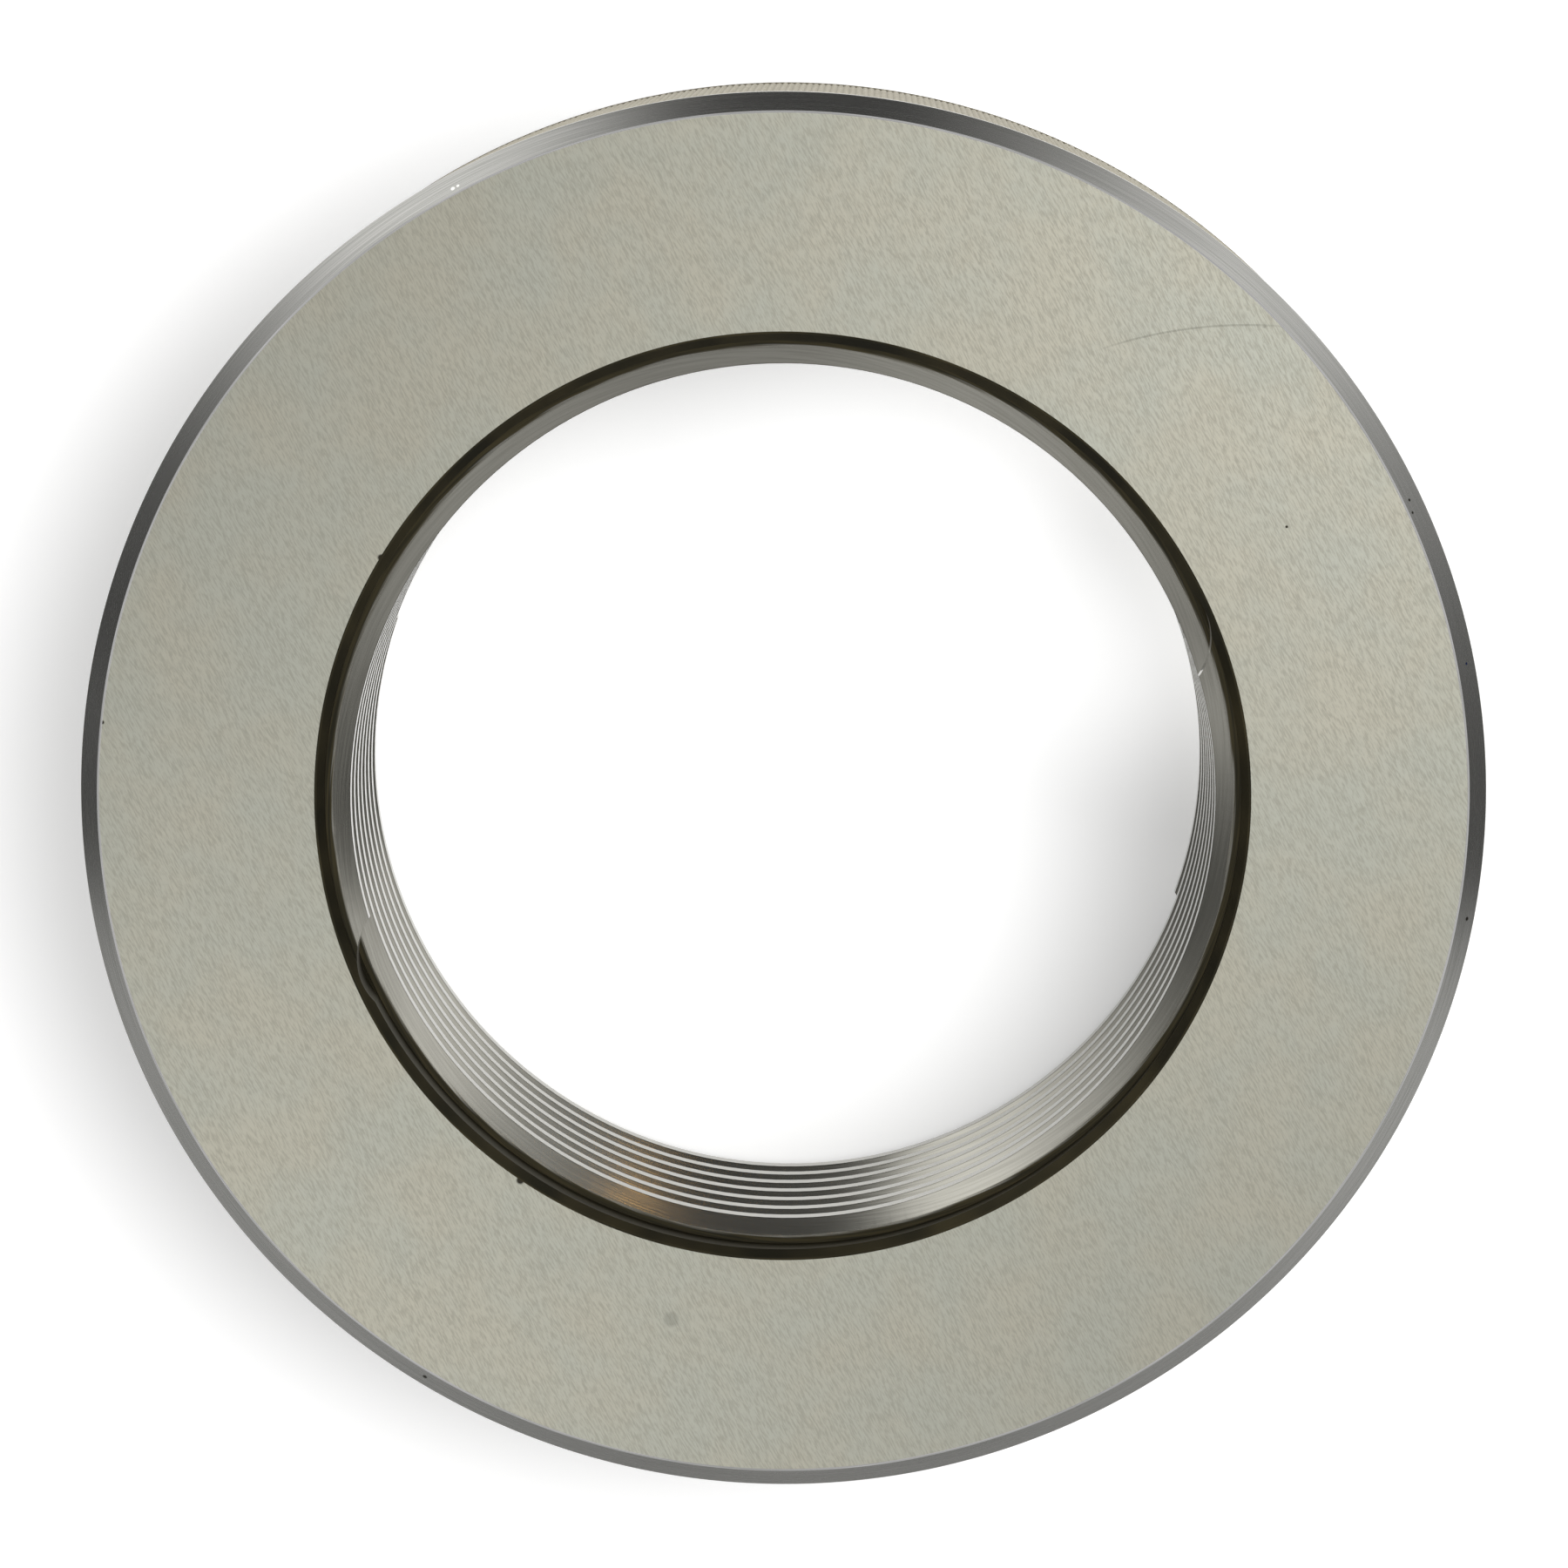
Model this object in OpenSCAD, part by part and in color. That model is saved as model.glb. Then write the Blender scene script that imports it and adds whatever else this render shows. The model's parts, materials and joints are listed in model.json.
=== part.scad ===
// Thread ring gauge for a two-start trapezoidal thread, one hardened steel ring.
// It lies on its plain end face, marked face up, with +Z along the bore and the
// origin at the centre of the lower face. Angles run clockwise from +Y, seen from
// above, and depths run down from the marked face, as the thread does.

/* [Ring body] */
// Outer diameter, over the crests of the gripping band
outer_d = 154.3; // [140:0.1:180]
// Length of the ring along its axis
width = 41; // [34:0.5:60]
// Chamfer on both outer edges
outer_chamfer = 2.1; // [0.5:0.1:3]

/* [Thread] */
// Nominal diameter of the screw that the ring gauges
nominal_d = 100; // [90:0.5:104]
// Distance from one ridge to the next, along the axis
pitch = 5; // [4:0.25:6]
// Number of separate helical ridges
starts = 2; // [1:1:3]
// Angle of each flank to a plane across the axis
flank_angle = 15; // [10:1:20]
// Depth of the groove floor outside the nominal diameter
root_clearance = 0.25; // [0.1:0.05:0.6]

/* [Thread ends] */
// Radial width of the cone at each mouth of the bore, outside the groove floor
mouth_chamfer = 0.9; // [0.5:0.1:2]
// Radial width over which that cone runs in below the groove floor
mouth_overrun = 0.25; // [0.1:0.05:0.5]
// Depth of the first ridge's middle where its full height begins
start_depth = 2.8; // [1.9:0.1:4]
// Height above the lower face of the last ridge's middle where full height ends
end_height = 2.2; // [1.9:0.1:4]
// Clockwise angle from +Y at which the first ridge reaches its full height
start_angle = 73.6; // [0:0.1:179]
// Diameter of the milling cutter that trims each thin end of a ridge
cutter_d = 14.5; // [12:0.5:20]
// How far that cutter runs in below the groove floor
cutter_overrun = 0.35; // [0.2:0.05:0.6]

/* [Hidden] */
// Angle between stations along the helical grooves
groove_step = 5;
// How far a cutting shape passes through a face
through = 2;
$fn = 180;

lead = pitch * starts;
outer_r = outer_d / 2;
pitch_r = nominal_d / 2 - pitch / 4;
crest_r = nominal_d / 2 - pitch / 2;
root_r = nominal_d / 2 + root_clearance;
mouth_r = root_r + mouth_chamfer;
mouth_depth = mouth_chamfer + mouth_overrun;
groove_inner_r = crest_r - through;
start_spacing = 360 / starts;

// The trimming cutter stands parallel to the bore. Its outermost line lies at
// cutter_reach, and its circle meets the crest at trim_angle from that line.
cutter_r = cutter_d / 2;
cutter_reach = root_r + cutter_overrun;
cutter_orbit = cutter_reach - cutter_r;
trim_angle = acos((pow(crest_r, 2) + pow(cutter_orbit, 2) - pow(cutter_r, 2)) / (2 * crest_r * cutter_orbit));
trim_start = start_angle - trim_angle;
end_angle = start_angle + 360 * (width - start_depth - end_height) / lead;
trim_end = end_angle + trim_angle;

// Depth of the first ridge's middle at a clockwise angle
function ridge_depth(angle) = start_depth + lead * (angle - start_angle) / 360;

// Half of a ridge's width along the axis, at a radius
function ridge_half(radius) = pitch / 4 + (radius - pitch_r) * tan(flank_angle);

function place(angle, radius, depth) = [radius * sin(angle), radius * cos(angle), width - depth];

// The groove ahead of the first ridge. It is open to the marked face until the
// next ridge begins there, and open to the lower face once its own ridge ends.
function groove_front(angle, radius) =
    angle < trim_start + start_spacing ? -through : ridge_depth(angle) - pitch + ridge_half(radius);
function groove_back(angle, radius) =
    angle > trim_end ? width + through : ridge_depth(angle) - ridge_half(radius);

function groove_section(angle) = [
    place(angle, groove_inner_r, groove_front(angle, groove_inner_r)),
    place(angle, root_r, groove_front(angle, root_r)),
    place(angle, root_r, groove_back(angle, root_r)),
    place(angle, groove_inner_r, groove_back(angle, groove_inner_r))
];

// Stations a whole step apart, with one step centred on each end of a ridge
groove_stations = [
    for (angle = [trim_start - groove_step / 2 : groove_step : trim_end - groove_step]) angle,
    for (angle = [trim_end - groove_step / 2 : groove_step : trim_end + start_spacing + groove_step]) angle
];

module groove() {
    count = len(groove_stations);
    side_faces = [
        for (i = [0 : count - 2], j = [0 : 3])
            let (here = 4 * i, next = here + 4, k = (j + 1) % 4)
                each [[here + j, here + k, next + k], [here + j, next + k, next + j]]
    ];
    last = 4 * (count - 1);
    polyhedron(
        points = [for (angle = groove_stations) each groove_section(angle)],
        faces = concat(side_faces, [[3, 2, 1, 0], [last, last + 1, last + 2, last + 3]]),
        convexity = 12
    );
}

// Clears the thin end of a ridge down to the groove floor, between two depths
module trimming_cutter(angle, top_depth, bottom_depth) {
    translate(place(angle, cutter_orbit, bottom_depth))
        cylinder(r = cutter_r, h = bottom_depth - top_depth);
}

// The turned ring before threading: both outer chamfers, the bore at the crest
// radius, and a short cone at each mouth that stops where the ridges begin
module turned_blank() {
    rotate_extrude()
        polygon([
            [mouth_r, 0],
            [outer_r - outer_chamfer, 0],
            [outer_r, outer_chamfer],
            [outer_r, width - outer_chamfer],
            [outer_r - outer_chamfer, width],
            [mouth_r, width],
            [mouth_r - mouth_depth, width - mouth_depth],
            [crest_r, width - mouth_depth],
            [crest_r, mouth_depth],
            [mouth_r - mouth_depth, mouth_depth]
        ]);
}

module gauge_ring() {
    color("#b4b4ac")
        difference() {
            turned_blank();
            for (i = [0 : starts - 1])
                rotate(-i * start_spacing) {
                    groove();
                    trimming_cutter(trim_start, -through, start_depth + pitch / 2);
                    trimming_cutter(trim_end, width - end_height - pitch / 2, width + through);
                }
        }
}

gauge_ring();
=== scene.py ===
# %% [markdown]
# A thread ring gauge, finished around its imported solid.
#
# The gauge is one thick ring of hardened steel. A machinist screws it onto a
# spindle to learn whether the spindle's thread is right, so nearly all of its
# surfaces are made with care: both end faces are lapped flat, the edges are
# turned, the bore holds a ground two-start thread, and the rim is knurled for
# the fingers.
#
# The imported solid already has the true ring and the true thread. What it lacks
# is the knurl, the broken edges and the finish of the steel. This script builds
# one mesh that adds them, and lights it the way polished steel has to be lit.

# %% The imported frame
import json
import math

import bmesh
import bpy
from mathutils import Matrix, Vector


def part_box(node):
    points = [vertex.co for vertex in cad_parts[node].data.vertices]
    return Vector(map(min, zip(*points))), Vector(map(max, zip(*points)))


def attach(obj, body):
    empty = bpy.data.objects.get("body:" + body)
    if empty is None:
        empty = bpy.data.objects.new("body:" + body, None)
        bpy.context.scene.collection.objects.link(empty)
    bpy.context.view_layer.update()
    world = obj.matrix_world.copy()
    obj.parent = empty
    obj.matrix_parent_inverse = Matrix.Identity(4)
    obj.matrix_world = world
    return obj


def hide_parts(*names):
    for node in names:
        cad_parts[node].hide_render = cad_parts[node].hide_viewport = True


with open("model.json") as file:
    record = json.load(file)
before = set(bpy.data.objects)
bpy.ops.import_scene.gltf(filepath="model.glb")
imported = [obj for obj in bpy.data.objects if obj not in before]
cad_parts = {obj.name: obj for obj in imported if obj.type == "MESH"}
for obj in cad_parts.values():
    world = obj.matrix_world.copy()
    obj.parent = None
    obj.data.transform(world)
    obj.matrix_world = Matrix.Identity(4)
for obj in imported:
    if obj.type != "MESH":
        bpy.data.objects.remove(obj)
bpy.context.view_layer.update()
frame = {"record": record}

# %% [markdown]
# Blender works in metres and a drawing of a gauge in millimetres, so every real
# size below is a number times MM. The ring's outer size and the thread's crest
# radius are read from the frame. The rest are the sizes that a thread of this
# kind has, and the widths of its edges.

# %% Sizes of the ring and its thread
MM = 0.001
low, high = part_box("gauge_ring")
thread_mount = next(m for m in frame["record"]["mounts"] if m["name"] == "thread")

OUTER_R = (high.x - low.x) / 2
WIDTH = high.z - low.z
CREST_R = thread_mount["dims"]["r_mm"] * MM
PITCH = 5 * MM
STARTS = 2
FLANK_ANGLE = math.radians(15)
ROOT_CLEARANCE = 0.25 * MM
CHAMFER = 2.1 * MM
MOUTH_CHAMFER = 0.9 * MM
RIDGE_TOP = 1.15 * MM
EDGE_BREAK = 0.14 * MM
RIM_BREAK = 0.05 * MM

LEAD = PITCH * STARTS
PITCH_R = CREST_R + PITCH / 4
ROOT_R = CREST_R + PITCH / 2 + ROOT_CLEARANCE
MOUTH_R = ROOT_R + MOUTH_CHAMFER
FACE_R = OUTER_R - CHAMFER
Z_AXIS = Vector((0, 0, 1))
print(f"outer radius {OUTER_R / MM:.2f} mm, width {WIDTH / MM:.2f} mm")
print(f"crest radius {CREST_R / MM:.2f} mm, groove floor at {ROOT_R / MM:.2f} mm")

# %% [markdown]
# The ring is turned on a lathe, and it is modelled the same way: half of its
# cross-section is drawn as a closed outline and spun about the bore. Angles run
# clockwise from +Y, seen from above, because a right-hand thread goes down that
# way. The corners of the outline get a vertex bevel before the spin, which
# breaks each sharp edge as a stone does, wider at the faces than at the rim. The
# thin facet that this leaves is what draws a light line round the face.
#
# The knurl isn't part of this outline yet. Between two narrow plain lands the rim
# is a placeholder wall, which the knurl replaces later. The wall has two steps
# for each column of the knurl, so that their points will meet.

# %% Turning the plain ring
COLUMNS = 346
WALL_STEPS = 2 * COLUMNS
LAND = 0.8 * MM
BAND_TOP = CHAMFER + LAND
FACE_CORNERS = (1, 2, 7, 8)
RIM_CORNERS = (3, 6)
SEAM = 0.002 * MM


def outline(mesh, points):
    """Draws a closed loop of edges through (radius, height) points on the +Y side."""
    verts = [mesh.verts.new((0, radius, height)) for radius, height in points]
    for here, after in zip(verts, verts[1:] + verts[:1]):
        mesh.edges.new((here, after))
    return verts


def turned_ring():
    """The ring before its thread and knurl, as a closed mesh."""
    mesh = bmesh.new()
    verts = outline(mesh, [
        (ROOT_R, MOUTH_CHAMFER),
        (MOUTH_R, 0),
        (FACE_R, 0),
        (OUTER_R, CHAMFER),
        (OUTER_R, BAND_TOP),
        (OUTER_R, WIDTH - BAND_TOP),
        (OUTER_R, WIDTH - CHAMFER),
        (FACE_R, WIDTH),
        (MOUTH_R, WIDTH),
        (ROOT_R, WIDTH - MOUTH_CHAMFER),
    ])
    for corners, size in ((FACE_CORNERS, EDGE_BREAK), (RIM_CORNERS, RIM_BREAK)):
        bmesh.ops.bevel(
            mesh, geom=[verts[i] for i in corners], offset=size, offset_type="OFFSET",
            segments=1, profile=0.5, affect="VERTICES", material=-1,
        )
    bmesh.ops.spin(
        mesh, geom=mesh.verts[:] + mesh.edges[:], cent=(0, 0, 0), axis=Z_AXIS,
        angle=-math.tau, steps=WALL_STEPS, use_merge=True,
    )
    bmesh.ops.remove_doubles(mesh, verts=mesh.verts, dist=SEAM)
    bmesh.ops.recalc_face_normals(mesh, faces=mesh.faces)
    return mesh


def to_object(mesh, name):
    """Turns a bmesh into an object of the scene."""
    data = bpy.data.meshes.new(name)
    mesh.to_mesh(data)
    mesh.free()
    made = bpy.data.objects.new(name, data)
    bpy.context.scene.collection.objects.link(made)
    return made


ring = to_object(turned_ring(), "ground_ring")
print("turned ring:", len(ring.data.polygons), "faces")

# %% [markdown]
# A thread is a groove, but here the ridge between two grooves is the simpler
# thing to draw: a trapezium with flanks at 15 degrees, wound down the bore. One
# spin with a dvec does it, because spin can climb as it turns. The root of the
# trapezium is sunk a little into the wall, so that the union of ridge and ring
# never has to settle two surfaces that merely touch.
#
# The ring has two starts, so the finished ridge is copied half a turn round.
# Both are then cut level, just inside each mouth of the bore.
#
# A cutter will trim the ridges' ends later, and its size already says how far
# they have to reach. Its circle meets the crest at an angle from its own middle,
# which the cosine rule gives.

# %% Winding the two ridges
START_DEPTH = 2.8 * MM
END_HEIGHT = 2.2 * MM
START_ANGLE = math.radians(73.6)
CUTTER_R = 7.25 * MM
CUTTER_ORBIT = ROOT_R + 0.35 * MM - CUTTER_R
ROOT_SINK = 0.3 * MM
RIDGE_STEP = math.tau / 173
CUT_NEAR = 0.0001 * MM

trim_cosine = (CREST_R**2 + CUTTER_ORBIT**2 - CUTTER_R**2) / (2 * CREST_R * CUTTER_ORBIT)
TRIM_ANGLE = math.acos(trim_cosine)
FULL_TURN = math.tau * (WIDTH - START_DEPTH - END_HEIGHT) / LEAD
FIRST_TRIM = START_ANGLE - TRIM_ANGLE
LAST_TRIM = START_ANGLE + FULL_TURN + TRIM_ANGLE


def ridge_height(angle):
    """Height of the first ridge's middle at a clockwise angle."""
    return WIDTH - START_DEPTH - LEAD * (angle - START_ANGLE) / math.tau


def ridge_half(radius):
    """Half of a ridge's thickness along the bore, at a radius."""
    return PITCH / 4 + (radius - PITCH_R) * math.tan(FLANK_ANGLE)


def level_cut(mesh, height, up):
    """Cuts a mesh off flat at a height and closes the cut."""
    cut = bmesh.ops.bisect_plane(
        mesh, geom=mesh.verts[:] + mesh.edges[:] + mesh.faces[:], dist=CUT_NEAR,
        plane_co=(0, 0, height), plane_no=(0, 0, up), clear_outer=True,
    )
    edges = [item for item in cut["geom_cut"] if isinstance(item, bmesh.types.BMEdge)]
    bmesh.ops.holes_fill(mesh, edges=edges, sides=0)


def wound_ridges():
    """Both ridges, with their thin ends still on."""
    mesh = bmesh.new()
    middle = ridge_height(FIRST_TRIM)
    base_r = ROOT_R + ROOT_SINK
    section = mesh.faces.new(outline(mesh, [
        (base_r, middle - ridge_half(base_r)),
        (CREST_R, middle - ridge_half(CREST_R)),
        (CREST_R, middle + ridge_half(CREST_R)),
        (base_r, middle + ridge_half(base_r)),
    ]))
    bmesh.ops.rotate(mesh, verts=mesh.verts, matrix=Matrix.Rotation(-FIRST_TRIM, 3, "Z"))
    sweep = LAST_TRIM - FIRST_TRIM
    steps = math.ceil(sweep / RIDGE_STEP)
    bmesh.ops.spin(
        mesh, geom=[*section.verts, *section.edges, section], cent=(0, 0, 0), axis=Z_AXIS,
        dvec=(0, 0, -LEAD * sweep / math.tau / steps), angle=-sweep, steps=steps,
    )
    level_cut(mesh, WIDTH - RIDGE_TOP, 1)
    level_cut(mesh, RIDGE_TOP, -1)
    whole = mesh.verts[:] + mesh.edges[:] + mesh.faces[:]
    second = bmesh.ops.duplicate(mesh, geom=whole)
    second_verts = [item for item in second["geom"] if isinstance(item, bmesh.types.BMVert)]
    half_turn = Matrix.Rotation(math.tau / STARTS, 3, "Z")
    bmesh.ops.rotate(mesh, verts=second_verts, matrix=half_turn)
    bmesh.ops.recalc_face_normals(mesh, faces=mesh.faces)
    return mesh


ridges = to_object(wound_ridges(), "ridges")
print("ridges:", len(ridges.data.polygons), "faces,", round(FULL_TURN / math.tau, 2), "turns each")

# %% [markdown]
# Where a ridge runs in from the mouth it would be a thin, sharp sliver that
# chips and scratches the spindle. The maker mills it away with a small cutter
# standing parallel to the bore, which leaves the blunt, scooped end that shows
# at the right of the bore and again half a turn on. The same four cuts are made
# here with four cylinders and one Boolean.

# %% Joining the thread to the ring and blunting its ends
CUTTER_SIDES = 160


def combined(target, tool, operation):
    """Applies an exact Boolean of tool to target, and removes the tool."""
    modifier = target.modifiers.new(operation, "BOOLEAN")
    modifier.operation = operation
    modifier.solver = "EXACT"
    modifier.object = tool
    depsgraph = bpy.context.evaluated_depsgraph_get()
    result = bpy.data.meshes.new_from_object(target.evaluated_get(depsgraph))
    target.modifiers.clear()
    target.data = result
    bpy.data.objects.remove(tool)


def trimming_cutters():
    """The four standing cylinders that blunt the ridges' ends."""
    mesh = bmesh.new()
    first_low = ridge_height(START_ANGLE) - PITCH / 2
    last_high = ridge_height(START_ANGLE + FULL_TURN) + PITCH / 2
    spans = [(FIRST_TRIM, first_low, WIDTH + PITCH), (LAST_TRIM, -PITCH, last_high)]
    for angle, bottom, top in spans:
        for start in range(STARTS):
            turn = Matrix.Rotation(-angle - start * math.tau / STARTS, 4, "Z")
            place = Matrix.Translation((0, CUTTER_ORBIT, (bottom + top) / 2))
            bmesh.ops.create_cone(
                mesh, cap_ends=True, segments=CUTTER_SIDES, radius1=CUTTER_R, radius2=CUTTER_R,
                depth=top - bottom, matrix=turn @ place,
            )
    return mesh


combined(ring, ridges, "UNION")
combined(ring, to_object(trimming_cutters(), "cutters"), "DIFFERENCE")
print("ring with its thread:", len(ring.data.polygons), "faces")

# %% [markdown]
# The rim is diamond knurled: two rollers press crossing grooves into it, at 30
# degrees to the axis, and what is left between them are rows of little blunt
# pyramids. There are thousands, so one column of them is modelled flat, with a
# few faces each, then wrapped round the rim and copied.
#
# A four-sided circle is already a diamond, and insetting its face with a depth
# raises the blunt pyramid. The column is cut to its width and to the length of
# the knurled band, and each end gets a small wall up to the plain land. The
# crests lie a hair below the lands, which were ground last.

# %% One flat column of the knurl
KNURL_DEPTH = 0.4 * MM
CREST_SINK = 0.04 * MM
GROOVE_HALF = 0.5 * MM
COLUMN_W = math.tau * OUTER_R / COLUMNS
DIAMOND_L = COLUMN_W * math.sqrt(3)
NEAR = 0.001 * MM


def cut_away(mesh, point, normal):
    """Removes what lies beyond a plane."""
    bmesh.ops.bisect_plane(
        mesh, geom=mesh.verts[:] + mesh.edges[:] + mesh.faces[:], dist=NEAR,
        plane_co=point, plane_no=normal, clear_outer=True,
    )


def lies_at(edge, height):
    """Tells whether both ends of an edge are at a height."""
    return all(abs(vert.co.z - height) < NEAR for vert in edge.verts)


def end_wall(mesh, height):
    """Closes the grooves at one end of the column, from their saw edge up to the land."""
    saw = [edge for edge in mesh.edges if lies_at(edge, height)]
    saw_verts = {vert for edge in saw for vert in edge.verts}
    first = min(saw_verts, key=lambda v: v.co.x)
    last = max(saw_verts, key=lambda v: v.co.x)
    line = [mesh.verts.new((x, OUTER_R, height)) for x in (-COLUMN_W / 2, 0, COLUMN_W / 2)]
    border = [(first, line[0]), (line[0], line[1]), (line[1], line[2]), (line[2], last)]
    bmesh.ops.contextual_create(mesh, geom=saw + [mesh.edges.new(pair) for pair in border])


def knurl_column():
    """One column of blunt diamonds: x along the rim, y the radius, z up."""
    mesh = bmesh.new()
    facing_out = Matrix.Rotation(-math.pi / 2, 4, "X")
    size = Matrix.Diagonal((COLUMN_W / 2, DIAMOND_L / 2, 1, 1))
    rows = math.ceil(WIDTH / DIAMOND_L / 2)
    for row in range(-rows, rows + 1):
        for across, along in ((0, 0), (-0.5, 0.5), (0.5, 0.5)):
            height = WIDTH / 2 + (row + along) * DIAMOND_L
            place = (across * COLUMN_W, OUTER_R - KNURL_DEPTH, height)
            bmesh.ops.create_circle(
                mesh, cap_ends=True, segments=4, radius=1,
                matrix=Matrix.Translation(place) @ facing_out @ size,
            )
    bmesh.ops.inset_individual(
        mesh, faces=mesh.faces[:], thickness=GROOVE_HALF, depth=KNURL_DEPTH - CREST_SINK,
        use_even_offset=True,
    )
    for side in (-1, 1):
        cut_away(mesh, (side * COLUMN_W / 2, 0, 0), (side, 0, 0))
    bmesh.ops.remove_doubles(mesh, verts=mesh.verts, dist=NEAR)
    for height, up in ((BAND_TOP, -1), (WIDTH - BAND_TOP, 1)):
        cut_away(mesh, (0, 0, height), (0, 0, up))
        end_wall(mesh, height)
    return mesh


column = knurl_column()
print(f"knurl: {COLUMNS} columns of {len(column.faces)} faces")
print(f"each diamond is {COLUMN_W / MM:.2f} by {DIAMOND_L / MM:.2f} mm")

# %% [markdown]
# Wrapping turns each x along the rim into an angle, and spin with use_duplicate
# copies the column round. The knurl and the ring then share the same circle of
# points at the edge of each land. The plain wall between those circles goes, the
# points are merged, and the whole gauge is one closed skin.

# %% Wrapping the knurl and closing the skin
MERGE = 0.01 * MM


def wrapped_knurl(mesh):
    """Bends the flat column to the rim and copies it all the way round."""
    for vert in mesh.verts:
        angle = vert.co.x / OUTER_R
        vert.co = (vert.co.y * math.sin(angle), vert.co.y * math.cos(angle), vert.co.z)
    step = math.tau / COLUMNS
    bmesh.ops.spin(
        mesh, geom=mesh.verts[:] + mesh.edges[:] + mesh.faces[:], cent=(0, 0, 0), axis=Z_AXIS,
        angle=step - math.tau, steps=COLUMNS - 1, use_duplicate=True,
    )
    bmesh.ops.remove_doubles(mesh, verts=mesh.verts, dist=MERGE)
    return mesh


def is_plain_wall(face):
    """Tells the placeholder wall, which the knurl replaces."""
    tall = BAND_TOP < face.calc_center_median().z < WIDTH - BAND_TOP
    return tall and all(abs(vert.co.xy.length - OUTER_R) < MERGE for vert in face.verts)


def closed_skin(mesh, rim):
    """Replaces the ring's plain outer wall by the knurled rim."""
    wall = [face for face in mesh.faces if is_plain_wall(face)]
    bmesh.ops.delete(mesh, geom=wall, context="FACES")
    loose = bpy.data.meshes.new("rim")
    rim.to_mesh(loose)
    rim.free()
    mesh.from_mesh(loose)
    bpy.data.meshes.remove(loose)
    bmesh.ops.remove_doubles(mesh, verts=mesh.verts, dist=MERGE)
    bmesh.ops.recalc_face_normals(mesh, faces=mesh.faces)


skin = bmesh.new()
skin.from_mesh(ring.data)
closed_skin(skin, wrapped_knurl(column))
bad_edges = sum(1 for edge in skin.edges if len(edge.link_faces) != 2)
print("whole gauge:", len(skin.faces), "faces,", bad_edges, "edges open or shared by three")

# %% [markdown]
# Four finishes share this skin. Which face gets which follows from where it is:
# level faces were lapped, whatever lies inside the mouth was ground or left dark
# from hardening, the chamfers and lands were turned, and the rest is the knurl.
#
# Round surfaces are shaded smooth and real edges stay crisp, so every edge that
# turns by more than 12 degrees is marked sharp. The facets of a broken edge turn
# by 22 degrees, and those of the ridges by 2.

# %% Sharing out the finishes
FINISHES = ["lapped_face", "turned_edge", "threaded_bore", "knurled_rim"]
SHARP = math.radians(12)


def finish_of(face):
    """The finish that a face was given, as its place in FINISHES."""
    centre = face.calc_center_median()
    radius = centre.xy.length
    on_end = min(centre.z, WIDTH - centre.z) < EDGE_BREAK / 4
    if on_end and radius > MOUTH_R:
        return FINISHES.index("lapped_face")
    if radius < MOUTH_R + EDGE_BREAK:
        return FINISHES.index("threaded_bore")
    if min(centre.z, WIDTH - centre.z) < BAND_TOP - NEAR:
        return FINISHES.index("turned_edge")
    return FINISHES.index("knurled_rim")


for face in skin.faces:
    face.smooth = True
    face.material_index = finish_of(face)
for edge in skin.edges:
    edge.smooth = len(edge.link_faces) == 2 and edge.calc_face_angle(0) < SHARP
given = [face.material_index for face in skin.faces]
skin.to_mesh(ring.data)
skin.free()
print("faces by finish:", {name: given.count(i) for i, name in enumerate(FINISHES)})

# %% [markdown]
# Materials are built from nodes, and a few small helpers keep that short. The
# first turns a screen colour, written as in a paint program, into the linear
# values that Blender mixes in. The second adds a node, sets it up and links it.
# The others are names for the nodes that come up again and again. Each of those
# hands back a socket, so one can stand inside another.

# %% Helpers for every material
MIX_FACTOR, MIX_FIRST, MIX_SECOND = 0, 6, 7
MIX_RESULT = 2


def linear(code):
    """Turns an sRGB colour such as #b0aea2 into linear red, green, blue and alpha."""
    channels = [int(code[i:i + 2], 16) / 255 for i in (1, 3, 5)]
    bent = [c / 12.92 if c <= 0.04045 else ((c + 0.055) / 1.055) ** 2.4 for c in channels]
    return (*bent, 1)


def add(tree, kind, links=None, **settings):
    """Adds a node, sets what settings name, and feeds its inputs with sockets or values."""
    node = tree.nodes.new(kind)
    for name, value in settings.items():
        setattr(node, name, value)
    for name, source in (links or {}).items():
        if isinstance(source, bpy.types.NodeSocket):
            tree.links.new(source, node.inputs[name])
        else:
            node.inputs[name].default_value = source
    return node


def calc(tree, operation, *values):
    """One step of arithmetic on sockets or numbers."""
    return add(tree, "ShaderNodeMath", dict(enumerate(values)), operation=operation).outputs[0]


def distance(tree, place, point):
    """How far a place is from a point."""
    links = {0: place, 1: point}
    return add(tree, "ShaderNodeVectorMath", links, operation="DISTANCE").outputs["Value"]


def ramped(tree, value, low, high, at_low, at_high, easing="SMOOTHSTEP"):
    """Carries a value's range from low to high onto another range."""
    return add(tree, "ShaderNodeMapRange", {
        "Value": value, "From Min": low, "From Max": high, "To Min": at_low, "To Max": at_high,
    }, interpolation_type=easing).outputs["Result"]


def mixed(tree, factor, first, second):
    """Mixes two colours, given as sockets or as linear values."""
    links = {MIX_FACTOR: factor, MIX_FIRST: first, MIX_SECOND: second}
    return add(tree, "ShaderNodeMix", links, data_type="RGBA").outputs[MIX_RESULT]


def noise(tree, place, scale, detail, roughness=0.5):
    """A cloudy pattern of values about one half. Scale is its bumps to a metre."""
    return add(tree, "ShaderNodeTexNoise", {
        "Vector": place, "Scale": scale, "Detail": detail, "Roughness": roughness,
    }).outputs["Fac"]


def bumped(tree, height, strength, depth):
    """A normal that follows a fine relief, depth metres deep."""
    return add(tree, "ShaderNodeBump", {
        "Height": height, "Strength": strength, "Distance": depth,
    }).outputs["Normal"]


print("middle grey on a screen is", round(linear("#808080")[0], 3), "in linear light")

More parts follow.
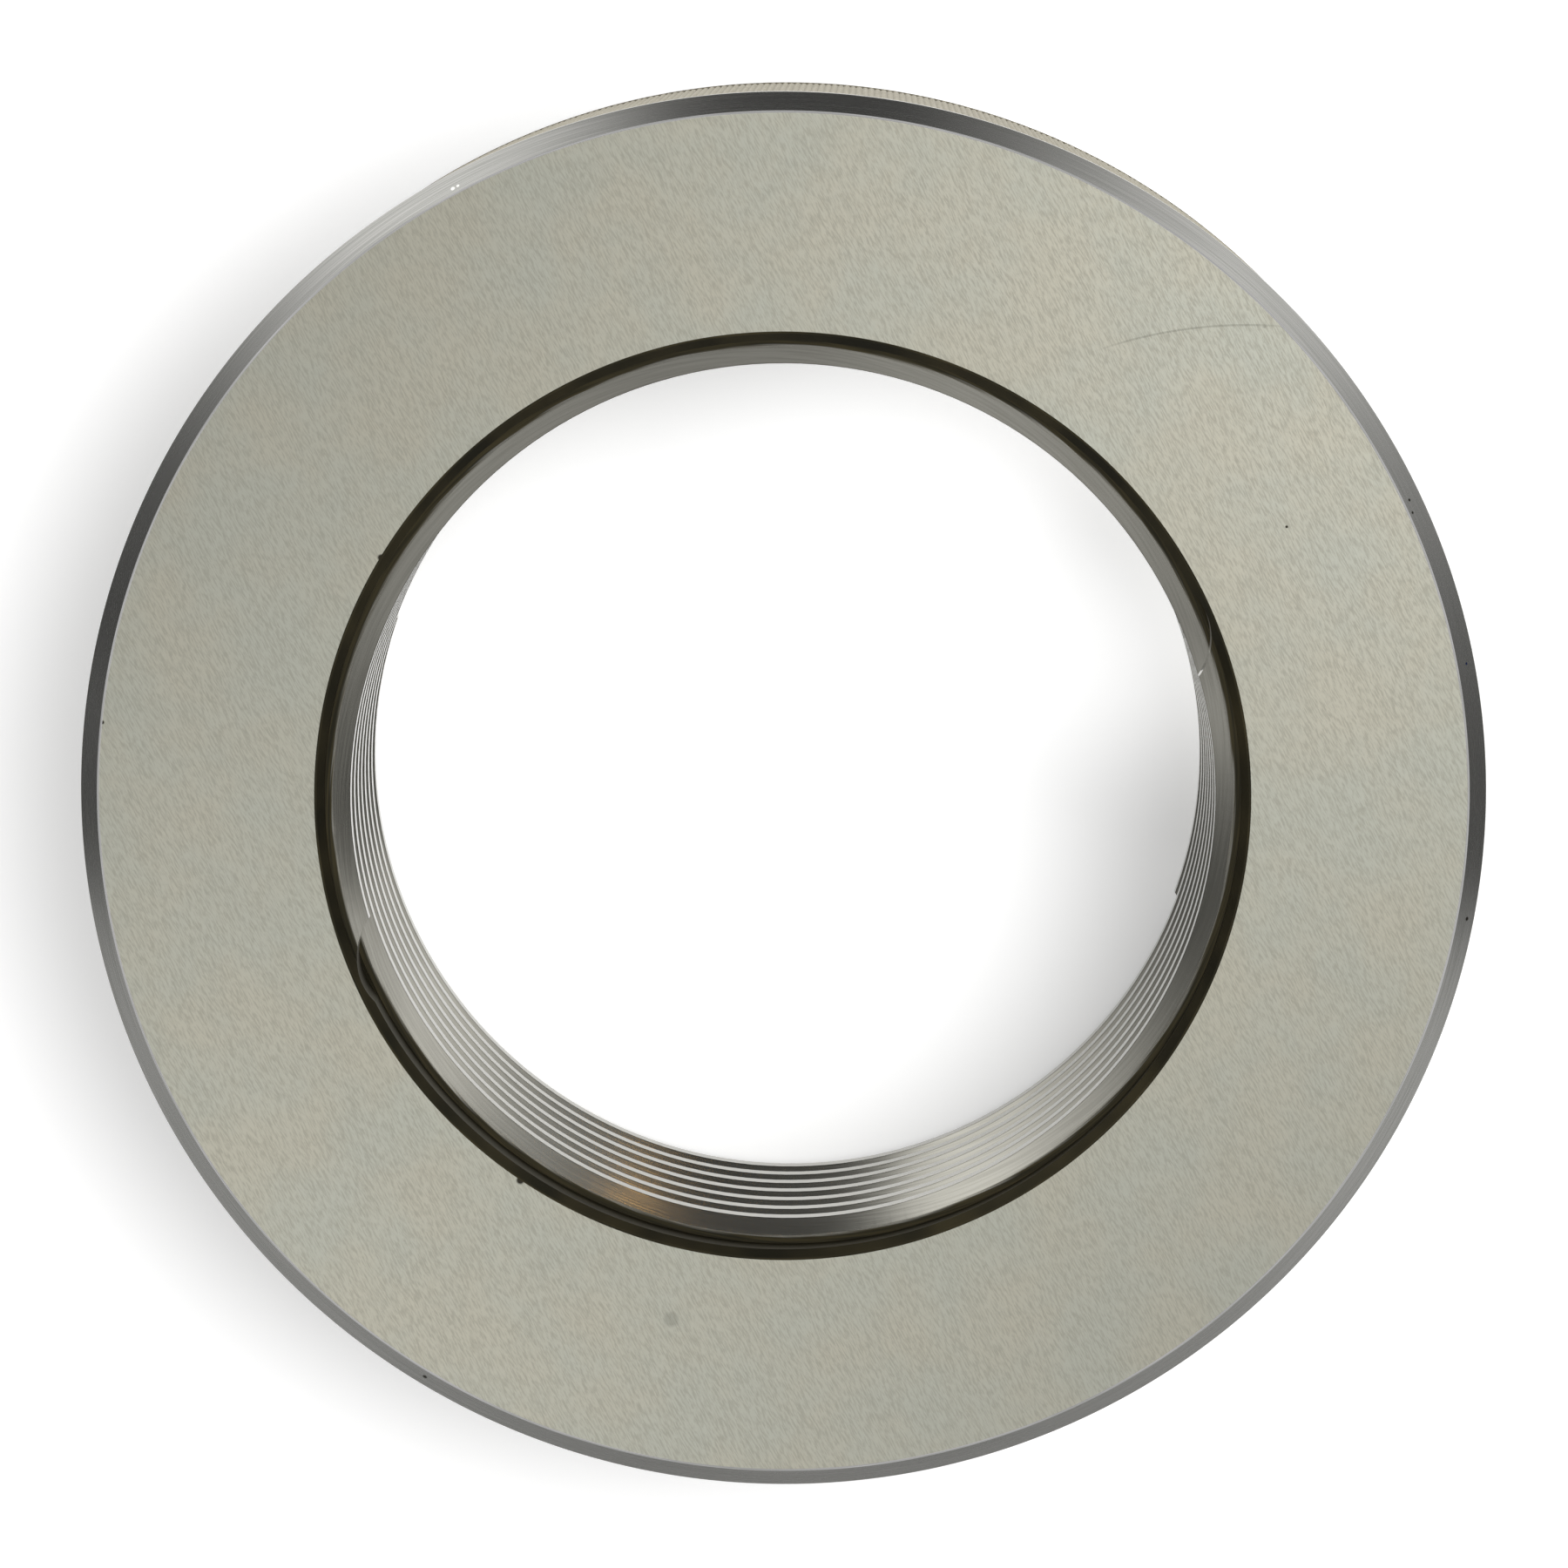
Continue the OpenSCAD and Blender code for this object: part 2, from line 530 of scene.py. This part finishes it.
# %% [markdown]
# All four finishes are the same alloy, a bearing steel of about 60 Rockwell, so
# all are fully metallic and keep the default IOR. What tells them apart is how
# each surface was made, and that is roughness, fine lines and stain.
#
# They go onto the ring in the order of FINISHES, because each face already holds
# its finish as a place in that list.

# %% Helpers for the steel
def new_material(name):
    """An empty node material, with its tree and the place in space of each point of it."""
    material = bpy.data.materials.new(name)
    material.use_nodes = True
    tree = material.node_tree
    tree.nodes.clear()
    place = add(tree, "ShaderNodeTexCoord").outputs["Object"]
    return material, tree, place


def steel_surface(tree, colour, roughness, normal):
    """Ends a material in a metallic shader. Colour, roughness and normal are sockets."""
    shader = add(tree, "ShaderNodeBsdfPrincipled", {
        "Base Color": colour, "Metallic": 1.0, "Roughness": roughness, "Normal": normal,
    })
    add(tree, "ShaderNodeOutputMaterial", {"Surface": shader.outputs["BSDF"]})


def give_ring(material):
    """Adds a material to the ring as its next finish."""
    ring.data.materials.append(material)
    print("finish", len(ring.data.materials), "is", material.name)


# %% [markdown]
# A gauge in use gathers marks, and these are where the photo shows them: dark
# nicks at the bore's edge and on the face, two faint smudges, a faint curved
# scratch, a few pits by the rim, a knock with a painted glint on it and a dot of
# blue ink. Each spot is the distance to a point, eased from one to none. A spot
# beyond the face's edge lies on the chamfer, which falls as far as it runs out.
# The scratch is the part of a circle near its middle.

# %% Marks of use
NICKS = [
    (-29.0, -42.35, 0.55), (-43.7, 26.7, 0.45), (54.9, 30.0, 0.2), (-74.4, 8.6, 0.28),
]
SMUDGES = [(-12.4, -58.0, 1.1), (52.3, 51.8, 0.3)]
RIM_PITS = [
    (68.25, 32.85, 0.22), (68.6, 31.5, 0.2), (-39.8, -64.7, 0.34), (75.1, -13.3, 0.3),
]
RIM_KNOCKS = [(-35.55, 66.75, 0.3), (-35.0, 67.05, 0.22)]
INK_DOT = (74.7, 14.9, 0.2)
SCRATCH = [(33.1, 48.8), (44.7, 51.6), (52.1, 51.9)]
SCRATCH_WIDTH = 0.14 * MM
SCRATCH_REACH = 0.62


def spot(tree, place, mark):
    """A socket that is one at a mark (x, y, size in millimetres) and fades to none."""
    x, y, size = mark
    z = WIDTH / MM - max(0, math.hypot(x, y) - FACE_R / MM)
    gap = distance(tree, place, (x * MM, y * MM, z * MM))
    return ramped(tree, gap, size * MM / 2, size * MM, 1.0, 0.0)


def spots(tree, place, marks):
    """The strongest of several spots."""
    strongest = spot(tree, place, marks[0])
    for mark in marks[1:]:
        strongest = calc(tree, "MAXIMUM", strongest, spot(tree, place, mark))
    return strongest


def circle_through(points):
    """Centre and radius of the circle through three points of the face."""
    (ax, ay), (bx, by), (cx, cy) = points
    double = 2 * (ax * (by - cy) + bx * (cy - ay) + cx * (ay - by))
    squares = [ax * ax + ay * ay, bx * bx + by * by, cx * cx + cy * cy]
    x = (squares[0] * (by - cy) + squares[1] * (cy - ay) + squares[2] * (ay - by)) / double
    y = (squares[0] * (cx - bx) + squares[1] * (ax - cx) + squares[2] * (bx - ax)) / double
    return (x, y), math.hypot(ax - x, ay - y)


def scratch(tree, place):
    """The curved scratch: close to its circle, and within reach of its middle point."""
    (x, y), radius = circle_through(SCRATCH)
    out = distance(tree, place, (x * MM, y * MM, WIDTH))
    aside = calc(tree, "ABSOLUTE", calc(tree, "SUBTRACT", out, radius * MM))
    line = ramped(tree, aside, SCRATCH_WIDTH / 2, SCRATCH_WIDTH, 1.0, 0.0)
    length = math.dist(SCRATCH[0], SCRATCH[2])
    near = spot(tree, place, (*SCRATCH[1], length * SCRATCH_REACH))
    return calc(tree, "MULTIPLY", line, near)


print("marks:", len(NICKS + SMUDGES + RIM_PITS + RIM_KNOCKS), "spots, one of ink and a scratch")

# %% [markdown]
# The end faces are ground on a plate and lapped. Nothing on them is a mirror:
# the last abrasive leaves short, fine strokes, here a millimetre long and much
# narrower, which all lean the same way. Under them the steel has a faint
# cloudiness, warmer and cooler patches about a centimetre across.
#
# A Mapping node of type Texture turns the pattern first and divides by its scale
# after, so its scale is simply the width and the length of one stroke. Most
# values of a noise lie between 0.3 and 0.7, so that is the range to spread out.

# %% Lapped face
NOISE_SPAN = (0.3, 0.7)
STROKE_W = 0.13 * MM
STROKE_L = 1.0 * MM
STROKE_LEAN = math.radians(28)
STROKE_DARK_SPAN = (0.33, 0.60)
STROKE_DARK = 0.5
STROKE_RELIEF = (0.5, 0.004 * MM)
CLOUD = 11 * MM
FACE_ROUGHNESS = (0.34, 0.30)
FAINT = 0.24
STEEL_WARM = "#c5c2b2"
STEEL_COOL = "#c1c2b5"
STEEL_DARK = "#9f9c8e"
NICK_DARK = "#3b3830"


def lapped_face():
    """Leaning strokes over cloudy steel, with the marks of use on them."""
    material, tree, place = new_material("lapped_hardened_steel")
    stroke_place = add(tree, "ShaderNodeMapping", {
        "Vector": place, "Rotation": (0, 0, STROKE_LEAN), "Scale": (STROKE_W, STROKE_L, STROKE_W),
    }, vector_type="TEXTURE").outputs["Vector"]
    strokes = noise(tree, stroke_place, 1.0, detail=2.0, roughness=0.6)
    clouds = noise(tree, place, 1 / CLOUD, detail=3.0, roughness=0.55)
    patches = ramped(tree, clouds, *NOISE_SPAN, 0.0, 1.0)
    tint = mixed(tree, patches, linear(STEEL_WARM), linear(STEEL_COOL))
    dark = ramped(tree, strokes, *STROKE_DARK_SPAN, STROKE_DARK, 0.0)
    worn = mixed(tree, dark, tint, linear(STEEL_DARK))
    either = calc(tree, "MAXIMUM", scratch(tree, place), spots(tree, place, SMUDGES))
    faint = calc(tree, "MULTIPLY", either, FAINT)
    marked = mixed(tree, faint, worn, linear(NICK_DARK))
    marked = mixed(tree, spots(tree, place, NICKS), marked, linear(NICK_DARK))
    roughness = ramped(tree, strokes, *NOISE_SPAN, *FACE_ROUGHNESS)
    steel_surface(tree, marked, roughness, bumped(tree, strokes, *STROKE_RELIEF))
    return material


give_ring(lapped_face())

# %% [markdown]
# The chamfers, the bore and the rim were all made while the ring turned, so
# their fine lines run round the axis. A noise that reads the distance from the
# axis less the height, at the scale of the tool's feed, gives rings on the upper
# chamfer and in the bore alike. Adding a little of x and y lets each line fade
# in and out on its way round.

# %% Lines left by turning, and the chamfers
CHAMFER_FEED = 0.12 * MM
CHAMFER_FADE = 14 * MM
CHAMFER_RELIEF = (0.5, 0.005 * MM)
CHAMFER_ROUGHNESS = (0.18, 0.28)
TURNED_LIGHT = "#bdbcb8"
TURNED_DARK = "#a8a8a3"
KNOCK_PAINTED_GLINT = "#fbfaf4"
INK_BLUE = "#34457f"


def radius_of(tree, place):
    """Distance from the bore's axis, as a socket."""
    links = {0: place, 1: (1, 1, 0)}
    flat = add(tree, "ShaderNodeVectorMath", links, operation="MULTIPLY").outputs[0]
    return add(tree, "ShaderNodeVectorMath", {0: flat}, operation="LENGTH").outputs["Value"]


def turning_lines(tree, place, feed, fade):
    """A noise that runs in rings: feed is the lines' spacing and fade their length, in metres."""
    split = add(tree, "ShaderNodeSeparateXYZ", {"Vector": place}).outputs
    across = calc(tree, "SUBTRACT", radius_of(tree, place), split["Z"])
    joined = add(tree, "ShaderNodeCombineXYZ", {
        "X": calc(tree, "DIVIDE", across, feed),
        "Y": calc(tree, "DIVIDE", split["X"], fade),
        "Z": calc(tree, "DIVIDE", split["Y"], fade),
    }).outputs["Vector"]
    return noise(tree, joined, 1.0, detail=2.0)


def turned_edge():
    """Rings of turning lines, with the pits, the knock with its painted glint and the ink beside
    the rim.
    """
    material, tree, place = new_material("turned_hardened_steel")
    lines = turning_lines(tree, place, CHAMFER_FEED, CHAMFER_FADE)
    fine = ramped(tree, lines, *NOISE_SPAN, 0.0, 1.0)
    colour = mixed(tree, fine, linear(TURNED_LIGHT), linear(TURNED_DARK))
    colour = mixed(tree, spots(tree, place, RIM_PITS), colour, linear(NICK_DARK))
    # Painted glint: the knocks on the chamfer are coloured near white.
    colour = mixed(tree, spots(tree, place, RIM_KNOCKS), colour, linear(KNOCK_PAINTED_GLINT))
    colour = mixed(tree, spot(tree, place, INK_DOT), colour, linear(INK_BLUE))
    roughness = ramped(tree, lines, *NOISE_SPAN, *CHAMFER_ROUGHNESS)
    steel_surface(tree, colour, roughness, bumped(tree, lines, *CHAMFER_RELIEF))
    return material


give_ring(turned_edge())

# %% [markdown]
# Hardening leaves a black scale on steel. The thread's flanks and crests were
# ground bright afterwards, but no wheel reached the cones at the mouths, and
# there the scale stayed. Deeper in, the floor of the groove and the outermost
# part of the flanks get painted shade of the same near black. The border of the
# black is at one distance from the axis, a little uneven, so the material mixes
# it into steel by radius. The crests are a little darker than the flanks.

# %% Threaded bore
BORE_FEED = 0.15 * MM
BORE_FADE = 9 * MM
BORE_FINE_SPAN = (0.3, 0.75)
BORE_RELIEF = (0.4, 0.006 * MM)
STEEL_ROUGHNESS = 0.115
SCALE_AND_SHADE_ROUGHNESS = 0.5
SCALE_AND_SHADE_EDGE = 49.45 * MM
SCALE_AND_SHADE_FADE = 0.25 * MM
RAGGED_SPAN = (0.2, 0.8)
SCALE_AND_SHADE_BLACK = "#333127"
SCALE_AND_SHADE_BROWN = "#4c4633"
BORE_STEEL = "#bebcb2"
BORE_STEEL_DARK = "#b0aea4"
BORE_CREST = "#918f85"
CREST_EDGE = (CREST_R + 0.02 * MM, CREST_R + 0.12 * MM)


def threaded_bore():
    """Ground steel near the axis; further out near black: scale on the mouth cones, painted shade
    deep in the groove.
    """
    material, tree, place = new_material("ground_thread_steel")
    lines = turning_lines(tree, place, BORE_FEED, BORE_FADE)
    radius = radius_of(tree, place)
    uneven = ramped(tree, lines, *RAGGED_SPAN, -SCALE_AND_SHADE_FADE / 2, SCALE_AND_SHADE_FADE / 2)
    ragged = calc(tree, "ADD", radius, uneven)
    # Beyond the border: scale on the mouth cones, painted shade on the groove's floor and outer
    # flanks.
    scale_and_shade = ramped(tree, ragged, SCALE_AND_SHADE_EDGE - SCALE_AND_SHADE_FADE, SCALE_AND_SHADE_EDGE + SCALE_AND_SHADE_FADE, 0.0, 1.0)
    fine = ramped(tree, lines, *BORE_FINE_SPAN, 0.0, 1.0)
    steel = mixed(tree, fine, linear(BORE_STEEL), linear(BORE_STEEL_DARK))
    steel = mixed(tree, ramped(tree, radius, *CREST_EDGE, 1.0, 0.0), steel, linear(BORE_CREST))
    # The near black of the scale, which is also the painted shade in the groove.
    scale = mixed(tree, fine, linear(SCALE_AND_SHADE_BLACK), linear(SCALE_AND_SHADE_BROWN))
    colour = mixed(tree, scale_and_shade, steel, scale)
    roughness = ramped(tree, scale_and_shade, 0.0, 1.0, STEEL_ROUGHNESS, SCALE_AND_SHADE_ROUGHNESS)
    steel_surface(tree, colour, roughness, bumped(tree, lines, *BORE_RELIEF))
    return material


give_ring(threaded_bore())

# %% [markdown]
# The grooves of the knurl are darkened with painted shade, deepest at their
# bottom. So the colour follows the distance from the axis, from the bottom of
# the grooves to nearly the top of the crests.

# %% Knurled rim
KNURL_TOP = "#9d9785"
KNURL_VALLEY_SHADE = "#27251d"
KNURL_GRAIN = 0.35 * MM
KNURL_RELIEF = (0.3, 0.01 * MM)
KNURL_ROUGHNESS = (0.26, 0.4)


def knurled_rim():
    """Steel crests over grooves darkened with painted shade, with a fine grain."""
    material, tree, place = new_material("knurled_hardened_steel")
    radius = radius_of(tree, place)
    height = ramped(tree, radius, OUTER_R - KNURL_DEPTH, OUTER_R - KNURL_DEPTH / 4, 0.0, 1.0)
    grain = noise(tree, place, 1 / KNURL_GRAIN, detail=2.0)
    # Painted shade: darker towards the bottom of the grooves.
    colour = mixed(tree, height, linear(KNURL_VALLEY_SHADE), linear(KNURL_TOP))
    roughness = ramped(tree, grain, *NOISE_SPAN, *KNURL_ROUGHNESS)
    steel_surface(tree, colour, roughness, bumped(tree, grain, *KNURL_RELIEF))
    return material


give_ring(knurled_rim())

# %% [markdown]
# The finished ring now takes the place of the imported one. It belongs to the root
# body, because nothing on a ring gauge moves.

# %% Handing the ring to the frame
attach(ring, "root")
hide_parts("gauge_ring")
print("materials:", [material.name for material in ring.data.materials])

# %% [markdown]
# The ring lies on white paper and is seen from almost straight above. The camera
# stands 710 mm over the marked face and leans nearly 8 degrees towards the top of
# it, which is why a sliver of the rim shows there and the bore shows most of its
# wall at the bottom.

# %% Camera
FACE_CENTRE = Matrix.Translation((0, 0, WIDTH))
LEAN = math.radians(7.631)
SWING = math.radians(0.823)
CAMERA_OFFSET = Matrix.Translation((0.194 * MM, 1.775 * MM, 716.47 * MM))
LENS = 150.3
SENSOR = 36

camera = bpy.data.objects.new("camera", bpy.data.cameras.new("camera"))
camera.data.sensor_width = SENSOR
camera.data.lens = LENS
leaning = Matrix.Rotation(-LEAN, 4, "X") @ Matrix.Rotation(SWING, 4, "Y")
camera.matrix_world = FACE_CENTRE @ leaning @ CAMERA_OFFSET
bpy.context.scene.collection.objects.link(camera)
bpy.context.scene.camera = camera
print("camera stands at", [round(x, 3) for x in camera.matrix_world.translation])

# %% [markdown]
# The floor is one large pale sheet. A little light of its own, which only camera,
# mirror and glass rays see, brings the lit paper up to white while the shadow
# beside the ring stays soft grey. Inside the bore it is stronger in two painted
# pools of light, which lighten the shadow there. Each pool is written as its
# place and reach in millimetres and its strength.

# %% Floor
FLOOR_SIZE = 6
PAPER = "#f0f0f0"
PAPER_GLOW = 0.34
PAINTED_LIGHT_POOLS = [(26, 36, 44, 0.42), (44, 10, 21, 0.28)]
FIBRE_SCALE = 900.0
FIBRE_RELIEF = (0.1, 0.02 * MM)


def seen_directly(tree):
    """One for camera, mirror and glass rays, and none for the light between surfaces."""
    rays = add(tree, "ShaderNodeLightPath").outputs
    either = calc(tree, "MAXIMUM", rays["Is Camera Ray"], rays["Is Glossy Ray"])
    return calc(tree, "MAXIMUM", either, rays["Is Transmission Ray"])


def paper():
    """Matt paper with a little light of its own, and painted pools of light."""
    material, tree, place = new_material("matt_white_paper")
    fibre = noise(tree, place, FIBRE_SCALE, detail=2.0)
    sheet = add(tree, "ShaderNodeBsdfDiffuse", {
        "Color": linear(PAPER), "Normal": bumped(tree, fibre, *FIBRE_RELIEF),
    }).outputs["BSDF"]
    level = PAPER_GLOW
    # Painted pools of light inside the bore lighten the shadow there.
    for x, y, reach, strongest in PAINTED_LIGHT_POOLS:
        gap = distance(tree, place, (x * MM, y * MM, 0))
        level = calc(tree, "ADD", level, ramped(tree, gap, 0.0, reach * MM, strongest, 0.0))
    glow = add(tree, "ShaderNodeEmission", {
        "Color": linear(PAPER), "Strength": calc(tree, "MULTIPLY", seen_directly(tree), level),
    }).outputs["Emission"]
    both = add(tree, "ShaderNodeAddShader", {0: sheet, 1: glow}).outputs["Shader"]
    add(tree, "ShaderNodeOutputMaterial", {"Surface": both})
    return material


sheet_mesh = bmesh.new()
bmesh.ops.create_grid(sheet_mesh, x_segments=2, y_segments=2, size=FLOOR_SIZE)
floor = to_object(sheet_mesh, "floor")
floor.data.materials.append(paper())
print("floor:", [round(side, 1) for side in floor.dimensions.xy], "metres")

# %% [markdown]
# Steel has hardly any colour of its own: it shows the room. In the bore and on
# the chamfers of a turned ring, the room becomes spokes of light and dark, one
# for each window and each gap between them. So the room is part of the set: a
# large dome that only mirror rays see. Its brightness is written as two lists,
# clockwise from +Y. The chamfers mirror the low one, near the horizon, and the
# flanks of the thread the high one. Between them is a plain, cool ring of light,
# which draws the bright line along the broken edge of the face.
#
# Overhead there is a light ceiling, which the lapped face mirrors. It leans
# towards the bottom of the face, because the camera leans to the top. It is
# brighter at the top right, with a saddle on top of that slope, and one warm lamp
# hangs beside it.

# %% Brightness of the room
LOW_ROOM = [
    (-180, 0.37), (-168, 0.33), (-145, 0.44), (-112, 0.51), (-107, 0.44), (-102, 0.17),
    (-97, 0.09), (-88, 0.15), (-82, 0.09), (-68, 0.15), (-60, 0.30), (-51, 0.64), (-41, 1.19),
    (-29, 1.22), (-20, 0.80), (-12, 0.20), (-6, 0.08), (11, 0.08), (20, 0.27), (35, 0.80),
    (45, 1.09), (53, 0.92), (62, 0.57), (78, 0.27), (90, 0.14), (103, 0.10), (108, 0.38),
    (113, 0.60), (123, 0.63), (145, 0.45), (168, 0.35), (180, 0.37),
]
HIGH_ROOM = [
    (-180, 0.35), (-173, 0.46), (-155, 0.45), (-130, 0.33), (-126, 0.52), (-119, 0.36),
    (-113, 0.18), (-105, 0.11), (-96, 0.14), (-86, 0.29), (-76, 0.52), (-65, 0.75),
    (-56, 1.07), (-46, 1.24), (-39, 1.06), (-33, 0.38), (-27, 0.09), (6, 0.07), (15, 0.17),
    (29, 0.29), (42, 0.47), (54, 0.80), (64, 0.84), (74, 0.62), (84, 0.56), (89, 0.17),
    (99, 0.06), (109, 0.16), (123, 0.38), (140, 0.46), (160, 0.36), (180, 0.35),
]
MIDDLE_LIGHT = "#f7f7fc"
HIGH_EDGE = (math.radians(36), math.radians(39))
LOW_EDGE = (math.radians(62), math.radians(66))
ROOM_R = 2.0
CEILING = 0.9
CEILING_SLOPE = (0.8, 0.9, 0.0)
CEILING_SADDLE = 34
CEILING_LEAST = 0.15
CEILING_LEAN = math.radians(8)
CEILING_EDGE = (math.radians(17), math.radians(23))
WARM_LAMP = (math.radians(14.7), math.radians(15), math.radians(1.2))
WARM_COLOUR = "#ffc66e"
WARM_LEVEL = 6.0
print("room:", len(LOW_ROOM), "levels near the horizon and", len(HIGH_ROOM), "higher up")

# %% Walls, ceiling and warm lamp
def light_round(tree, turn, levels):
    """Brightness round the room, from (azimuth in degrees, level) pairs."""
    ramp = add(tree, "ShaderNodeValToRGB", {"Fac": turn})
    stops = ramp.color_ramp.elements
    stops[0].position = 0
    stops[1].position = 1
    for angle, _ in levels[1:-1]:
        stops.new(angle / 360 + 0.5)
    for stop, (_, level) in zip(stops, levels):
        stop.color = (level, level, level, 1)
    return ramp.outputs["Color"]


def tilt_of(tree, place):
    """Angle between a direction and straight up, as a socket."""
    height = add(tree, "ShaderNodeSeparateXYZ", {"Vector": place}).outputs["Z"]
    return calc(tree, "ARCTAN2", radius_of(tree, place), height)


def walls(tree, place):
    """The walls: a high and a low ring of windows, with plain light between them."""
    split = add(tree, "ShaderNodeSeparateXYZ", {"Vector": place}).outputs
    azimuth = calc(tree, "ARCTAN2", split["X"], split["Y"])
    turn = ramped(tree, azimuth, -math.pi, math.pi, 0.0, 1.0, easing="LINEAR")
    tilt = tilt_of(tree, place)
    below_high = ramped(tree, tilt, *HIGH_EDGE, 0.0, 1.0)
    upper = mixed(tree, below_high, light_round(tree, turn, HIGH_ROOM), linear(MIDDLE_LIGHT))
    below_middle = ramped(tree, tilt, *LOW_EDGE, 0.0, 1.0)
    return mixed(tree, below_middle, upper, light_round(tree, turn, LOW_ROOM))


def ceiling(tree, leaned):
    """The light of the ceiling: a slope, and a saddle that is high at two opposite corners."""
    aim = add(tree, "ShaderNodeVectorMath", {
        0: leaned, "Scale": 1 / ROOM_R,
    }, operation="SCALE").outputs[0]
    slope = add(tree, "ShaderNodeVectorMath", {
        0: aim, 1: CEILING_SLOPE,
    }, operation="DOT_PRODUCT").outputs["Value"]
    split = add(tree, "ShaderNodeSeparateXYZ", {"Vector": aim}).outputs
    corner = calc(tree, "MULTIPLY", split["X"], split["Y"])
    level = calc(tree, "ADD", slope, CEILING)
    level = calc(tree, "MULTIPLY_ADD", corner, CEILING_SADDLE, level)
    return calc(tree, "MAXIMUM", level, CEILING_LEAST)


def warm_lamp(tree, place):
    """One inside the warm lamp's round shade, and none outside."""
    azimuth, tilt, reach = WARM_LAMP
    flat = math.sin(tilt) * ROOM_R
    centre = (flat * math.sin(azimuth), flat * math.cos(azimuth), math.cos(tilt) * ROOM_R)
    gap = distance(tree, place, centre)
    return ramped(tree, gap, reach * ROOM_R / 2, reach * ROOM_R, 1.0, 0.0)


def room_light():
    """The dome's material: it shines, and it differs with the direction from its centre."""
    material, tree, place = new_material("room_around_the_table")
    leaned = add(tree, "ShaderNodeMapping", {
        "Vector": place, "Rotation": (-CEILING_LEAN, 0, 0),
    }).outputs["Vector"]
    past_ceiling = ramped(tree, tilt_of(tree, leaned), *CEILING_EDGE, 0.0, 1.0)
    level = mixed(tree, past_ceiling, ceiling(tree, leaned), walls(tree, place))
    warm = [channel * WARM_LEVEL for channel in linear(WARM_COLOUR)]
    level = mixed(tree, warm_lamp(tree, place), level, warm)
    light = add(tree, "ShaderNodeEmission", {"Color": level, "Strength": 1.0}).outputs["Emission"]
    add(tree, "ShaderNodeOutputMaterial", {"Surface": light})
    return material


# %% [markdown]
# The dome is spun like the ring. An arc rises from the floor to just short of the
# top, and a flat ring runs inwards from its foot, a millimetre over the paper. So
# steel that looks down and outwards sees the room, and not the bright paper.

# %% The dome
DOME_FOOT = 1 * MM
TABLE_EDGE = 0.15
DOME_ARC = math.radians(89.99)
DOME_ROWS = 48
DOME_COLUMNS = 180
DOME_SEAM = 0.1 * MM


def room_dome():
    """The dome with its flat ring, as a mesh."""
    mesh = bmesh.new()
    foot = [mesh.verts.new((0, radius, DOME_FOOT)) for radius in (TABLE_EDGE, ROOM_R)]
    mesh.edges.new(foot)
    bmesh.ops.spin(
        mesh, geom=[foot[1]], cent=(0, 0, 0), axis=(1, 0, 0), angle=DOME_ARC, steps=DOME_ROWS,
    )
    bmesh.ops.spin(
        mesh, geom=mesh.verts[:] + mesh.edges[:], cent=(0, 0, 0), axis=Z_AXIS,
        angle=-math.tau, steps=DOME_COLUMNS, use_merge=True,
    )
    bmesh.ops.remove_doubles(mesh, verts=mesh.verts, dist=DOME_SEAM)
    return mesh


room = to_object(room_dome(), "room")
room.data.materials.append(room_light())
room.visible_camera = False
room.visible_diffuse = False
room.visible_shadow = False
print("room dome:", len(room.data.polygons), "faces,", ROOM_R, "metres in radius")

# %% [markdown]
# The room lights only the steel. The paper gets its light from an even white
# world and from one soft lamp high on the right, which throws the shadow to the
# left of the ring and inside the bore on the right. The two add up to about one,
# so a colour renders as it is written.

# %% World and lamp
WORLD_LEVEL = 0.6
LAMP_AZIMUTH = math.radians(65)
LAMP_HEIGHT = math.radians(67)
LAMP_DISTANCE = 1.3
LAMP_SIZE = 0.8
LAMP_POWER = 12

world = bpy.data.worlds.new("pale_studio")
world.use_nodes = True
world.node_tree.nodes.clear()
background = add(world.node_tree, "ShaderNodeBackground", {
    "Color": (1, 1, 1, 1), "Strength": WORLD_LEVEL,
})
add(world.node_tree, "ShaderNodeOutputWorld", {"Surface": background.outputs["Background"]})
bpy.context.scene.world = world

lamp = bpy.data.objects.new("soft_lamp", bpy.data.lights.new("soft_lamp", "AREA"))
lamp.data.shape = "DISK"
lamp.data.size = LAMP_SIZE
lamp.data.energy = LAMP_POWER
direction = Vector((
    math.sin(LAMP_AZIMUTH) * math.cos(LAMP_HEIGHT),
    math.cos(LAMP_AZIMUTH) * math.cos(LAMP_HEIGHT),
    math.sin(LAMP_HEIGHT),
))
facing_ring = direction.to_track_quat("Z", "Y").to_matrix().to_4x4()
lamp.matrix_world = Matrix.Translation(direction * LAMP_DISTANCE) @ facing_ring
lamp.visible_glossy = False
bpy.context.scene.collection.objects.link(lamp)
print("lamp stands at", [round(x, 3) for x in lamp.matrix_world.translation])

# %% [markdown]
# Standard view keeps the colours as written.

# %% Finish
bpy.context.scene.view_settings.view_transform = "Standard"
